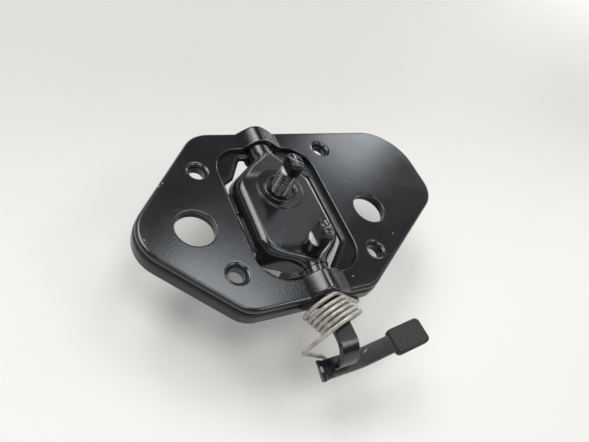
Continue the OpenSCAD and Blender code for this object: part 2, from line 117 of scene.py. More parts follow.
def piece(bm, name, material, body, nodes=(), sharp=38, weighted=False, rides=True):
    """Makes a finished object of a mesh in mm and hangs it on its body."""
    bmesh.ops.recalc_face_normals(bm, faces=bm.faces[:])
    bmesh.ops.scale(bm, vec=(MM, MM, MM), verts=bm.verts[:])
    mesh = bpy.data.meshes.new(name)
    bm.to_mesh(mesh)
    bm.free()
    for face in mesh.polygons:
        face.use_smooth = True
    mesh.set_sharp_from_angle(angle=math.radians(sharp))
    mesh.materials.append(material)
    obj = bpy.data.objects.new(name, mesh)
    scene.collection.objects.link(obj)
    if weighted:
        mod = obj.modifiers.new("flat_faces", 'WEIGHTED_NORMAL')
        mod.keep_sharp = True
        mod.weight = 60
    if rides:
        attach(obj, body)
    if nodes:
        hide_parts(*nodes)
    return obj


def outline(corners, steps=18):
    """Points (x, y, nx, ny) round an outline with a radius at each corner; n points inwards."""
    points = []
    for i, (x, y, r) in enumerate(corners):
        p = Vector((x, y))
        a = Vector(corners[i - 1][:2])
        b = Vector(corners[(i + 1) % len(corners)][:2])
        ua, ub = (a - p).normalized(), (b - p).normalized()
        half = ua.angle(ub) / 2
        centre = p + (ua + ub).normalized() * r / math.sin(half)
        start = p + ua * r / math.tan(half) - centre
        end = p + ub * r / math.tan(half) - centre
        a0 = math.atan2(start.y, start.x)
        turn = (math.atan2(end.y, end.x) - a0 + math.pi) % (2 * math.pi) - math.pi
        way = -1 if turn > 0 else 1
        for k in range(steps + 1):
            c, s = math.cos(a0 + turn * k / steps), math.sin(a0 + turn * k / steps)
            points.append((centre.x + r * c, centre.y + r * s, way * c, way * s))
    return points


def circle(centre, r, n=72):
    """Points (x, y, nx, ny) round a hole."""
    points = []
    for k in range(n):
        c, s = math.cos(2 * math.pi * k / n), math.sin(2 * math.pi * k / n)
        points.append((centre[0] + r * c, centre[1] + r * s, -c, -s))
    return points


# Faces of a sheet that a row of points can follow
TOP, SKIRT, UNDER = 0, 1, 2
NO_SKIRT = -50.0
TOP_MARGIN, UNDER_MARGIN = 0.35, 0.2


def quarter(steps):
    return [math.pi / 2 * k / steps for k in range(steps + 1)]


def top_round(r, steps):
    """Rows (inset, base, height) of a round from the upper face down to the edge."""
    return [(r * (1 - math.sin(a)), TOP, -r * (1 - math.cos(a))) for a in quarter(steps)]


def under_round(r, steps):
    """Rows of a round from the edge in to the under face."""
    return [(r * (1 - math.cos(a)), UNDER, r * (1 - math.sin(a))) for a in quarter(steps)]


def rolled_edge(r_top, r_low, steps=6):
    """Rows over a cut edge with a round at the top and a small one below."""
    rows = [(r_top + TOP_MARGIN, TOP, 0.0)] + top_round(r_top, steps)
    return rows + under_round(r_low, 3) + [(r_low + UNDER_MARGIN, UNDER, 0.0)]


def pressing(bm, loops, bases, cuts=()):
    """Sheet between two faces. A loop is (points, side, rows): side 1 outside, -1 for a hole.

    The bases give each face's height at x, and the cuts are where the sheet is divided to follow them.
    """
    weights = [bm.verts.layers.float.new("base%d" % k) for k in range(3)]
    lift = bm.verts.layers.float.new("lift")
    far_x = 1000.0
    fills = ([], [])
    for points, side, rows in loops:
        grid = []
        for inset, base, height in rows:
            ring = []
            for x, y, nx, ny in points:
                reach = side * inset
                v = bm.verts.new((x + nx * reach, y + ny * reach, bases[base](far_x) + height))
                v[weights[base]] = 1.0
                v[lift] = height
                ring.append(v)
            grid.append(ring)
        n = len(points)
        for a, b in zip(grid, grid[1:]):
            for i in range(n):
                bm.faces.new((a[i], a[(i + 1) % n], b[(i + 1) % n], b[i]))
        for fill, ring in zip(fills, (grid[0], grid[-1])):
            fill.extend(bm.edges.get((ring[i], ring[(i + 1) % n])) for i in range(n))
    for fill in fills:
        bmesh.ops.triangle_fill(bm, edges=fill, use_beauty=True)
    for x in cuts:
        bmesh.ops.bisect_plane(bm, geom=bm.verts[:] + bm.edges[:] + bm.faces[:],
                               plane_co=(x, 0, 0), plane_no=(1, 0, 0))
    if not cuts:
        return
    for v in bm.verts:
        v.co.z = sum(v[w] * base(v.co.x) for w, base in zip(weights, bases)) + v[lift]
        if v[weights[TOP]] > 0.9:
            v.co.z = max(v.co.z, bases[SKIRT](v.co.x))


def lathe(bm, profile, y, shape):
    """Turned solid about an upright line at x 0 and y, from (radius, z) pairs that shape then moves."""
    rows = []
    for r, z in profile:
        row = []
        for k in range(AROUND):
            a = 2 * math.pi * k / AROUND
            p = shape(Vector((r * math.cos(a), r * math.sin(a), z)), a)
            row.append(p + Vector((0, y, 0)))
        rows.append(row)
    skin(bm, rows)


def rounded_box_section(w, h, r, steps=5):
    """Points (across, up) round a bar's section."""
    pts = []
    for cx, cy, a0 in ((w / 2 - r, h / 2 - r, 0), (-w / 2 + r, h / 2 - r, 90),
                       (-w / 2 + r, -h / 2 + r, 180), (w / 2 - r, -h / 2 + r, 270)):
        for k in range(steps + 1):
            a = math.radians(a0 + 90 * k / steps)
            pts.append((cx + r * math.cos(a), cy + r * math.sin(a)))
    return pts


def swept_bar(bm, stations, w, h, r, end_r):
    """Bar through (point, across, up) stations, its ends rounded over."""
    least_r = 0.08
    rows = []
    first, last = stations[0], stations[-1]
    ahead = (stations[1][0] - first[0]).normalized()
    behind = (last[0] - stations[-2][0]).normalized()
    ends = []
    for a in (0, 30, 60, 90):
        t = math.radians(a)
        ends.append((end_r * (1 - math.sin(t)), end_r * (1 - math.cos(t))))
    plan = [(first[0] + ahead * s, first[1], first[2], c) for c, s in ends]
    plan += [(p, u, v, 0.0) for p, u, v in stations[1:-1]]
    plan += [(last[0] - behind * s, last[1], last[2], c) for c, s in reversed(ends)]
    for p, u, v, c in plan:
        section = rounded_box_section(w - 2 * c, h - 2 * c, max(r - c, least_r))
        rows.append([p + u * a + v * b for a, b in section])
    skin(bm, rows)


def round_edges(bm, verts, r):
    edges = {e for v in verts for e in v.link_edges}
    bmesh.ops.bevel(bm, geom=list(edges), offset=r, segments=3, profile=0.5, affect='EDGES')


def block(bm, lo, hi, r):
    """Box with rounded edges."""
    size = Vector(hi) - Vector(lo)
    centre = (Vector(hi) + Vector(lo)) / 2
    place = Matrix.Translation(centre) @ Matrix.Diagonal((*size, 1))
    round_edges(bm, bmesh.ops.create_cube(bm, size=1, matrix=place)["verts"], r)


# Materials

# Colour sockets of a Mix node
COLOR_A, COLOR_B, COLOR_OUT = 6, 7, 2


class Nodes:
    """Small helper round a node tree."""

    def __init__(self, tree):
        self.tree = tree

    def node(self, kind, links=(), **settings):
        n = self.tree.nodes.new(kind)
        for key, value in settings.items():
            setattr(n, key, value)
        for key, value in dict(links).items():
            self.put(n.inputs[key], value)
        return n

    def put(self, socket, value):
        if isinstance(value, bpy.types.NodeSocket):
            self.tree.links.new(value, socket)
        else:
            socket.default_value = value

    def math(self, operation, a, b):
        return self.node("ShaderNodeMath", {0: a, 1: b}, operation=operation).outputs[0]

    def step(self, value, low, high, to_low=0.0, to_high=1.0):
        """Smooth change from one level to another between low and high."""
        n = self.node("ShaderNodeMapRange", {"Value": value, "From Min": low, "From Max": high,
                                             "To Min": to_low, "To Max": to_high},
                      clamp=True, interpolation_type='SMOOTHSTEP')
        return n.outputs[0]

    def largest(self, masks):
        total = masks[0]
        for m in masks[1:]:
            total = self.math('MAXIMUM', total, m)
        return total

    def seen(self):
        """1 on rays from the camera and on those that metal and glass send on, 0 on the rest."""
        rays = self.node("ShaderNodeLightPath").outputs
        kinds = ("Is Camera Ray", "Is Glossy Ray", "Is Transmission Ray")
        return self.largest([rays[kind] for kind in kinds])


class Shader(Nodes):
    """A material's nodes. Coordinates are in mm on the object."""

    def __init__(self, name):
        self.material = bpy.data.materials.new(name)
        self.material.use_nodes = True
        super().__init__(self.material.node_tree)
        self.bsdf = self.tree.nodes["Principled BSDF"]
        coords = self.node("ShaderNodeTexCoord")
        scaled = self.node("ShaderNodeVectorMath", {0: coords.outputs["Object"], "Scale": 1 / MM},
                           operation='SCALE')
        self.mm = scaled.outputs["Vector"]

    def length(self, vector):
        return self.node("ShaderNodeVectorMath", {0: vector}, operation='LENGTH').outputs["Value"]

    def split(self):
        """The x, y and z of the point, in mm."""
        return self.node("ShaderNodeSeparateXYZ", {0: self.mm}).outputs

    def noise(self, size, detail=2.0, rough=0.5, stretch=(1, 1, 1), turn=(0, 0, 0), shift=(0, 0, 0)):
        """Noise whose blobs are about size mm across."""
        place = self.node("ShaderNodeMapping", {"Vector": self.mm, "Location": shift, "Rotation": turn,
                                                "Scale": tuple(1 / (size * s) for s in stretch)})
        n = self.node("ShaderNodeTexNoise", {"Vector": place.outputs[0], "Scale": 1.0, "Detail": detail,
                                             "Roughness": rough})
        return n.outputs["Fac"]

    def blend(self, fac, a, b):
        n = self.node("ShaderNodeMix", {"Factor": fac, COLOR_A: a, COLOR_B: b}, data_type='RGBA')
        return n.outputs[COLOR_OUT]

    def mark(self, place, turn, size, ragged=0.35):
        """Mask of a worn spot or scratch: an oval at place, with a ragged edge."""
        n = self.node("ShaderNodeMapping", {"Vector": self.mm, "Location": place,
                                            "Rotation": (0, 0, math.radians(turn)), "Scale": size},
                      vector_type='TEXTURE')
        far = self.length(n.outputs[0])
        rough = self.noise(1.2, detail=4, rough=0.7, shift=(place[0], place[1], 3.7))
        uneven = self.math('MULTIPLY', self.math('SUBTRACT', rough, 0.5), ragged * 4)
        far = self.math('ADD', far, uneven)
        return self.step(far, 0.75, 1.05, 1.0, 0.0)

    def bump(self, height, distance):
        """Normal of a relief that is distance mm high."""
        links = {"Height": height, "Distance": distance * MM, "Strength": 1.0}
        return self.node("ShaderNodeBump", links).outputs[0]

    def set(self, **sockets):
        for key, value in sockets.items():
            self.put(self.bsdf.inputs[key.replace("_", " ")], value)


COAT_DARK, COAT_PALE = (0.0045, 0.005, 0.006, 1), (0.007, 0.0075, 0.009, 1)
COAT_DUST, COAT_SCRATCH = (0.11, 0.11, 0.105, 1), (0.16, 0.16, 0.16, 1)
# LEDGE_HIGHLIGHT is a painted highlight on the ledge faces that face the light
LEDGE_HIGHLIGHT, CREST_WEAR_AND_HIGHLIGHT = (0.22, 0.22, 0.23, 1), (0.30, 0.30, 0.29, 1)
STEEL_DARK, STEEL_PALE = (0.30, 0.29, 0.28, 1), (0.55, 0.53, 0.50, 1)
SCRATCH_TURNS = (24, -38)


def coat(name, marks=(), worn_above=None, gloss=0.16, ledge_highlights=(), worn_and_lit_crests=None, ior=1.6):
    """Black electrocoat: orange peel, dust, smudges, hairline scratches and chips down to the steel.

    The coat wears off between the two heights of worn_above and has a pale painted highlight at the spots in
    ledge_highlights; a thread's crests, given as (y of the axis, radius, top), are paler, partly worn coat
    and partly painted highlight.
    """
    s = Shader(name)
    cloud = s.noise(0.8, detail=3)
    color = s.blend(s.step(cloud, 0.3, 0.7), COAT_DARK, COAT_PALE)
    specks = s.step(s.noise(0.45, detail=1), 0.70, 0.78)
    dust = s.math('MULTIPLY', specks, s.step(s.noise(14, detail=2), 0.35, 0.7))
    color = s.blend(s.math('MULTIPLY', dust, 0.5), color, COAT_DUST)
    hairs = []
    for turn in SCRATCH_TURNS:
        streak = s.noise(1.1, detail=1, stretch=(14, 0.28, 3), turn=(0, 0, math.radians(turn)),
                         shift=(turn, 0, 0))
        hairs.append(s.step(streak, 0.76, 0.80))
    patches = s.step(s.noise(11, detail=1, shift=(40, 0, 0)), 0.42, 0.62)
    hair = s.math('MULTIPLY', s.largest(hairs), patches)
    color = s.blend(s.math('MULTIPLY', hair, 0.35), color, COAT_SCRATCH)
    rough = s.step(s.noise(16, detail=3, rough=0.6), 0.3, 0.75, gloss - 0.02, gloss + 0.03)
    rough = s.math('ADD', rough, s.math('MULTIPLY', hair, 0.15))
    metal = 0.0
    bare = None
    if marks:
        bare = s.largest([s.mark(*m) for m in marks])
    if worn_above is not None:
        grit = s.noise(1.1, detail=4, rough=0.7)
        high = s.step(s.split()["Z"], *worn_above, -0.25, 0.03)
        worn = s.step(s.math('ADD', grit, high), 0.62, 0.70)
        bare = worn if bare is None else s.math('MAXIMUM', bare, worn)
    # Painted highlight: the lit ledge faces of the flats are coloured pale grey
    if ledge_highlights:
        color = s.blend(s.largest([s.mark(*m) for m in ledge_highlights]), color, LEDGE_HIGHLIGHT)
    # Thread crests made paler: partly worn coat, partly a painted highlight for the ridges' bright lines
    if worn_and_lit_crests:
        axis_y, crest_r, crest_top = worn_and_lit_crests
        x, y, z = s.split()
        off = s.node("ShaderNodeCombineXYZ", {0: x, 1: s.math('SUBTRACT', y, axis_y)}).outputs[0]
        outer = s.step(s.length(off), crest_r, crest_r + 0.1)
        outer = s.math('MULTIPLY', outer, s.step(z, crest_top, crest_top + 0.3, 1.0, 0.0))
        outer = s.math('MULTIPLY', outer, s.step(s.noise(3.0, detail=3), 0.3, 0.6))
        color = s.blend(s.math('MULTIPLY', outer, 0.55), color, CREST_WEAR_AND_HIGHLIGHT)
    peel = s.noise(0.9, detail=2)
    grain = s.noise(0.28, detail=2, rough=0.6)
    height = s.math('ADD', peel, s.math('MULTIPLY', grain, 0.4))
    if bare is not None:
        steel = s.blend(s.noise(0.6, detail=3), STEEL_DARK, STEEL_PALE)
        color = s.blend(bare, color, steel)
        metal = s.math('MULTIPLY', bare, 0.85)
        rough = s.math('ADD', rough, s.math('MULTIPLY', bare, 0.08))
        height = s.math('SUBTRACT', height, s.math('MULTIPLY', bare, 2.0))
    s.set(Base_Color=color, Roughness=rough, Metallic=metal, Normal=s.bump(height, 0.020), IOR=ior)
    return s.material


def wire_finish(name):
    """Pale coated spring wire: satin and uneven, with darker dirt and specks."""
    s = Shader(name)
    dirt = s.noise(2.2, detail=4, rough=0.65)
    color = s.blend(s.step(dirt, 0.36, 0.68), (0.30, 0.285, 0.25, 1), (0.50, 0.48, 0.43, 1))
    specks = s.step(s.noise(0.5, detail=2), 0.66, 0.74)
    color = s.blend(s.math('MULTIPLY', specks, 0.6), color, (0.10, 0.09, 0.08, 1))
    rough = s.step(s.noise(1.2, detail=3), 0.3, 0.7, 0.34, 0.5)
    height = s.noise(0.35, detail=3, rough=0.6)
    s.set(Base_Color=color, Roughness=rough, Metallic=0.55, Normal=s.bump(height, 0.014))
    return s.material


def plated(name):
    """Dull zinc plating."""
    s = Shader(name)
    cloud = s.noise(2.5, detail=4, rough=0.6)
    color = s.blend(s.step(cloud, 0.3, 0.7), (0.36, 0.36, 0.35, 1), (0.56, 0.56, 0.54, 1))
    rough = s.step(s.noise(0.8, detail=3), 0.3, 0.7, 0.32, 0.48)
    s.set(Base_Color=color, Roughness=rough, Metallic=0.9, Normal=s.bump(s.noise(0.4, detail=3), 0.01))
    return s.material


def grip_finish(name):
    """Matt olive-black moulding with a fine grain and a little dust."""
    s = Shader(name)
    cloud = s.noise(3.5, detail=4, rough=0.6)
    color = s.blend(s.step(cloud, 0.3, 0.7), (0.008, 0.009, 0.0065, 1), (0.013, 0.014, 0.0105, 1))
    dust = s.step(s.noise(0.5, detail=2), 0.66, 0.76)
    color = s.blend(s.math('MULTIPLY', dust, 0.2), color, (0.06, 0.06, 0.055, 1))
    rough = s.step(s.noise(0.9, detail=2), 0.3, 0.7, 0.56, 0.72)
    height = s.math('ADD', s.noise(0.3, detail=3, rough=0.7), s.math('MULTIPLY', s.noise(1.4), 0.5))
    s.set(Base_Color=color, Roughness=rough, Normal=s.bump(height, 0.018))
    return s.material


# Marks are (place, turn, size), where the coat is chipped or scratched to the steel
PLATE_MARKS = [
    ((-48.2, 19.8, 0), 20, (0.9, 0.3, 3)),
    ((-46.3, 20.8, 0), 70, (0.4, 0.2, 3)),
    ((44.8, -14.4, 0), 35, (0.8, 0.16, 3)),
    ((13.9, -30.1, 0), 10, (0.7, 0.18, 3)),
    ((-58.7, -2.3, -1), 120, (0.8, 0.5, 1.2)),
]
TRAY_MARKS = [
    ((-40.2, -25.3, -8), 130, (1.2, 1.2, 0.9)),
    ((30.0, -31.5, -8.2), 25, (1.6, 1.2, 0.6)),
]
ROCKER_MARKS = [
    ((-6.5, -6.6, 0.8), 62, (1.1, 0.035, 3)),
    ((-11.2, -12.3, 0.8), 40, (0.7, 0.04, 3)),
    ((-3.4, -59.0, -10.6), 10, (0.9, 0.8, 0.9)),
]
LEVER_MARKS = [
    ((12.4, -55.6, -12), 25, (1.2, 0.14, 3)),
    ((-7.9, -57, -12.6), 0, (0.6, 1.2, 0.5)),
]
# Painted highlights on the ledge faces that face the light, as (place, turn, size, ragged edge)
STRIKER_LEDGE_HIGHLIGHT = [((-3.4, STRIKER_Y, 12.3), 0, (0.8, 4, 0.55), 0.1)]
HOOK_LEDGE_HIGHLIGHT = [((-3.0, HOOK_Y, 9.2), 0, (1.1, 4.5, 0.55), 0.1)]

plate_coat = coat("plate_coat", PLATE_MARKS)
# The tray's copy of the coat reflects less, with a lower IOR and more roughness: painted shade on the skirt
shaded_tray_coat = coat("shaded_tray_coat", TRAY_MARKS, gloss=0.2, ior=1.4)
rocker_coat = coat("rocker_coat", ROCKER_MARKS)
lever_coat = coat("lever_coat", LEVER_MARKS, gloss=0.20)
striker_coat = coat("striker_coat", worn_above=(16.6, 18.2), ledge_highlights=STRIKER_LEDGE_HIGHLIGHT,
                    worn_and_lit_crests=(STRIKER_Y, 3.84, 12.0))
hook_coat = coat("hook_coat", worn_above=(14.6, 16.1), ledge_highlights=HOOK_LEDGE_HIGHLIGHT)
nut_coat = coat("nut_coat")
zinc = plated("zinc_plating")
grip_plastic = grip_finish("grip_plastic")
spring_steel = wire_finish("spring_wire")


# Cover plate and base tray


TRAY_UNDER, SKIRT_LOW = -3.8, -8.5
TRAY_HUMP_R, TRAY_HUMP_SINK, TRAY_ROOT_R = 7.2, 1.8, 2.5


def tray_hump(x):
    """Depth of the tray's humps below the sheet's under face."""
    x, r, sink, root = abs(x), TRAY_HUMP_R, TRAY_HUMP_SINK, TRAY_ROOT_R
    foot = math.sqrt((r + root) ** 2 - (sink + root) ** 2)
    if x >= foot:
        return 0.0
    if x <= r * foot / (r + root):
        return math.sqrt(r * r - x * x) - sink
    return root - math.sqrt(max(root ** 2 - (foot - x) ** 2, 0))


CROWN, CREST_R, LEFT_FOOT, RIGHT_FOOT = 4.9, 1.6, 7.9, 9.9
FLANK_POWER, SOFT_FOOT = 1.32, 0.35


def cover_hump(x):
    """Height of the cover's humps: like a roof, with a crisp left foot and a soft right one."""
    off = math.hypot(x, CREST_R) - CREST_R
    reach = math.hypot(LEFT_FOOT if x < 0 else RIGHT_FOOT, CREST_R) - CREST_R
    lift = CROWN * (1 - (off / reach) ** FLANK_POWER)
    if x < 0:
        return max(0.0, lift)
    return (lift + math.hypot(lift, SOFT_FOOT)) / 2


def bore(x):
    """Height of the tunnel's wall above its axis."""
    return math.sqrt(max(TUNNEL_R ** 2 - x * x, 0))


DRAW_FROM, DRAW_TO, DRAW_FADE = 3.4, 9.6, 0.8
DRAW_HEIGHT, DRAW_PITCH = 0.045, 0.78
CUTS_FROM, CUTS_TO = -8.83, 11.4
HUMP_CUTS = [-TUNNEL_R * math.sin(math.radians(90 * k / 12)) for k in range(1, 13)]
HUMP_CUTS += [mix(-TUNNEL_R, CUTS_FROM, k / 18) for k in range(1, 19)] + [-LEFT_FOOT, -LEFT_FOOT - 0.05]
HUMP_CUTS += [DRAW_FROM * k / 12 for k in range(12)] + [mix(DRAW_FROM, CUTS_TO, k / 90) for k in range(91)]
HUMP_CUTS.sort()


def draw_marks(x):
    """Fine ridges that the die leaves along a hump's flank."""
    fade = ease((x - DRAW_FROM) / DRAW_FADE) * ease((DRAW_TO - x) / DRAW_FADE)
    uneven = 0.7 + 0.3 * math.sin(5.1 * x)
    return DRAW_HEIGHT * fade * math.sin(2 * math.pi * x / DRAW_PITCH) * uneven


COLLAR_MOUTH = 1.8
# Outside of a collar below the sheet: rim, wall and root
COLLAR_OUTSIDE = [(0, UNDER, -2.5), (0.09, UNDER, -2.71), (0.3, UNDER, -2.8), (1.8, UNDER, -2.8),
                  (2.01, UNDER, -2.71), (2.1, UNDER, -2.5), (2.1, UNDER, -1.85), (1.1, UNDER, -1.83),
                  (1.1, UNDER, -0.3), (1.2, UNDER, -0.1), (1.4, UNDER, 0.0)]


def cover_plate():
    bm = bmesh.new()
    collar_rows = [(COLLAR_MOUTH + 0.3, TOP, 0.0)] + top_round(COLLAR_MOUTH, 7) + COLLAR_OUTSIDE
    loops = [(outline(OUTLINE), 1, rolled_edge(1.4, 0.25, 9)),
             (outline(OPENING), -1, rolled_edge(0.6, 0.2))]
    loops += [(circle(c, MOUNT_R), -1, rolled_edge(0.5, 0.2)) for c in MOUNT_HOLES]
    loops += [(circle(c, COLLAR_R, 48), -1, collar_rows) for c in COLLARS]
    bases = [lambda x: cover_hump(x) + draw_marks(x), lambda x: NO_SKIRT, lambda x: AXIS_Z + bore(x)]
    pressing(bm, loops, bases, HUMP_CUTS)
    piece(bm, "cover_plate_pressing", plate_coat, "housing", ["cover_plate"], weighted=True)


LIP_W, LIP_DROP, LIP_TURN = 2.2, 1.4, math.radians(80)
TRAY_BEND, TRAY_OUT, COLLAR_ROOM_R = 2.4, 0.4, 4.25
# Skirt below the tray's bend: outside, rim and inside
SKIRT_ROWS = [(0, SKIRT, 0.5), (0.07, SKIRT, 0.25), (0.25, SKIRT, 0.07), (0.5, SKIRT, 0.0), (1.3, SKIRT, 0.0),
              (1.55, SKIRT, 0.07), (1.73, SKIRT, 0.25), (1.8, SKIRT, 0.5), (1.8, UNDER, -0.6),
              (1.9, UNDER, -0.25), (2.15, UNDER, -0.06), (2.5, UNDER, 0.0)]


def base_tray():
    bm = bmesh.new()
    rows = [(TRAY_BEND + 0.4, TOP, 0.0)] + top_round(TRAY_BEND, 8) + SKIRT_ROWS
    rows = [(inset - TRAY_OUT, base, height) for inset, base, height in rows]
    lip_rows = [(LIP_W + 0.3, TOP, 0.0)]
    for k in range(11):
        a = LIP_TURN * k / 10
        lip_rows.append((LIP_W * (1 - math.sin(a) / math.sin(LIP_TURN)), TOP,
                         -LIP_DROP * (1 - math.cos(a)) / (1 - math.cos(LIP_TURN))))
    lip_rows += [(0, UNDER, 0.2), (0.06, UNDER, 0.06), (0.2, UNDER, 0.0), (0.5, UNDER, 0.0)]
    loops = [(outline(OUTLINE), 1, rows), (outline(TRAY_OPENING, 8), -1, lip_rows)]
    loops += [(circle(c, MOUNT_R), -1, rolled_edge(0.4, 0.2)) for c in MOUNT_HOLES]
    loops += [(circle(c, COLLAR_ROOM_R, 40), -1, rolled_edge(0.3, 0.15)) for c in COLLARS]
    bases = [lambda x: AXIS_Z - bore(x), lambda x: min(SKIRT_LOW, TRAY_UNDER - tray_hump(x)),
             lambda x: TRAY_UNDER - tray_hump(x)]
    pressing(bm, loops, bases, HUMP_CUTS)
    piece(bm, "base_tray_pressing", shaded_tray_coat, "housing", ["base_tray"], weighted=True)


# Rocker

RIM_R, RIM_ROUND = 2.6, 0.35
# Keeps points apart where a part of the section has no length
APART = 1e-4


def half_section(w, top, low, rt, rb, close):
    """Right half of the rocker's outer line, from the top's middle to the rim, as (x, z, nx, nz)."""
    pts = []
    for k in range(7):
        pts.append(((w - rt) * k / 7, top, 0.0, 1.0))
    for k in range(13):
        a = math.radians(90 - 90 * k / 12)
        pts.append((w - rt + rt * math.cos(a), top - rt + rt * math.sin(a), math.cos(a), math.sin(a)))
    curl = math.radians(90 * min(1.0, 2 * close))
    wall_end = min(low + rb * math.sin(curl), top - rt - 0.01)
    for k in range(1, 8):
        pts.append((w, mix(top - rt, wall_end, k / 7), 1.0, 0.0))
    for k in range(1, 11):
        a = -curl * k / 10
        drop = 0.0 if curl > 1e-6 else -APART * k
        pts.append((w - rb + rb * math.cos(a), wall_end + rb * math.sin(a) + drop, math.cos(a), math.sin(a)))
    x_end = w - rb + rb * math.cos(curl)
    run = max(0.0, 2 * close - 1) * max(x_end - 0.2, 0.0)
    for k in range(1, 4):
        c, s = math.cos(curl), -math.sin(curl)
        z = wall_end - rb * math.sin(curl) - APART * k * c
        pts.append((x_end - run * k / 3 + APART * k * s, z, c, s))
    return pts


def rocker_row(y, u, radius=None):
    """Closed section of the rocker's sheet at y; u is 0 on the dome and 1 at a neck."""
    n, up = ramp((u + 0.2) / 1.2, 0.42), ramp((u - 0.36) / 0.64, 0.46)
    if radius is None:
        w = mix(ROCKER_W, ROOT_R, n)
        top = mix(ROCKER_TOP, AXIS_Z + ROOT_R, ramp((u - 0.04) / 0.96, 0.46))
        low = mix(ROCKER_LOW, AXIS_Z - ROOT_R, up)
        rt, rb = mix(SHOULDER_R, ROOT_R, n), mix(RIM_R, ROOT_R, up)
    else:
        w, top, low, rt, rb = radius, AXIS_Z + radius, AXIS_Z - radius, radius, radius
        n = up = 1.0
    rt = min(rt, (top - low) / 2)
    close = ramp((u - 0.72) / 0.28)
    rb = min(rb, w)
    lean = (FLANK_LEAN + 0.4 * n * (1 - n)) * (1 - up)
    front = ease(0.5 - y / 16) * ease(u / 0.3) * (1 - ease((u - 0.4) / 0.5))
    deeper = 0.0 if radius else 0.8 * (1 - ease(u / 0.6)) + FLANK_MORE * front
    left_lean = lean + (0.10 * (1 - ease(u / 0.9)) + 0.22 * front) * (1 - up)

    def side(low, lean):
        """Sheet of one side: down the outside, round the rim and up the inside."""
        outer, inner = [], []
        for x, z, nx, nz in half_section(w, top, low, rt, rb, close):
            out = lean * (top - z)
            outer.append((x + out, z))
            inner.append((max(x + out - nx * ROCKER_T, 0.0), z - nz * ROCKER_T))
        (ox, oz), (ix, iz) = outer[-1], inner[-1]
        half_w = Vector((ox - ix, oz - iz)) / 2
        mid = Vector((ox + ix, oz + iz)) / 2
        out = Vector((half_w.y, -half_w.x)).normalized() if half_w.length > 1e-6 else Vector((0, -1))
        rim = []
        for k in range(1, 6):
            a = math.pi * k / 6
            p = mid + half_w * math.cos(a) + out * RIM_ROUND * (1 - close) * math.sin(a)
            rim.append((p.x, p.y))
        return outer + rim + list(reversed(inner))

    right_loop = side(low, lean)
    left_loop = [(-x, z) for x, z in reversed(side(low - deeper, left_lean)[1:-1])]
    return [Vector((x, y, z)) for x, z in right_loop + left_loop]


STRAP_W, STRAP_T, STRAP_SINK = 7.8, 2.4, 0.8


def strap_stations():
    """Middle line of the strap at x 0: level, then round one broad bend and down to the lever."""
    bend_r, bend, level_end = 6.8, math.radians(102), -51.4
    line = [(-32.8, AXIS_Z, 0.0), (-36.5, AXIS_Z, 0.0), (-42.0, AXIS_Z, 0.0), (-46.0, AXIS_Z, 0.0)]
    for k in range(25):
        a = bend * k / 24
        line.append((level_end - bend_r * math.sin(a), AXIS_Z - bend_r * (1 - math.cos(a)), a))
    y, z, a = line[-1]
    down = (z - LEVER_TOP + STRAP_SINK) / math.sin(a)
    line.append((y - math.cos(a) * down * 0.6, z - math.sin(a) * down * 0.6, a))
    line.append((y - math.cos(a) * down, z - math.sin(a) * down, a))
    across = Vector((1, 0, 0))
    return [(Vector((0, y, z)), across, Vector((0, -math.sin(a), math.cos(a)))) for y, z, a in line]


# Drawn rings round the pins: (y, inner radius, outer radius, height, depth of the cup, edge round)
BOSSES = [(STRIKER_Y, 7.0, 10.1, 0.6, 0, 0.50), (STRIKER_Y, 4.3, 7.5, 0.95, 1.5, 0.60),
          (HOOK_Y, 4.1, 5.0, 0.25, 0, 0.22)]
# Stops that swing against the tray: (low corner, high corner, edge round)
STOPS = [((-23.7, 7, -6.1), (-16.7, 17, -4.1), 0.7), ((-18.1, 7, -6.1), (-16.7, 17, -3.0), 0.5),
         ((16.7, 7, -10.7), (22.1, 17, -8.7), 0.7), ((16.7, 7, -10.7), (18.1, 17, -3.0), 0.5)]
NECK_FRONT, NECK_BACK, END_CHAMFER = -36.2, 45.6, 0.15
TAPER_STEPS, FLAT_STEPS = 26, 24


def boss(bm, y, r_in, r_out, high, cup, soft):
    """Ring on the rocker's top, with a hollow round the pin where cup is set."""
    base, top = ROCKER_TOP - 0.9, ROCKER_TOP + high
    if cup:
        profile = [(r_in, base), (r_in, top - cup), (r_in + 0.35, top - cup + 0.05), (5.9, top - 0.45),
                   (6.05, top - 0.22), (6.25, top - 0.07), (6.5, top), (r_out - soft, top)]
    else:
        profile = [(r_in, base), (r_in, top - 0.2), (r_in + 0.2, top), (r_out - soft, top)]
    for a in quarter(5)[1:]:
        profile.append((r_out - soft + soft * math.sin(a), top - soft * (1 - math.cos(a))))
    profile += [(r_out, ROCKER_TOP + 0.12), (r_out + 0.1, ROCKER_TOP + 0.03),
                (r_out + 0.3, ROCKER_TOP - 0.02), (r_out + 0.3, base)]
    turns = [2 * math.pi * k / AROUND for k in range(AROUND)]
    rings = [[Vector((r * math.cos(a), y + r * math.sin(a), z)) for a in turns] for r, z in profile]
    skin(bm, rings + [rings[0]], caps=False)


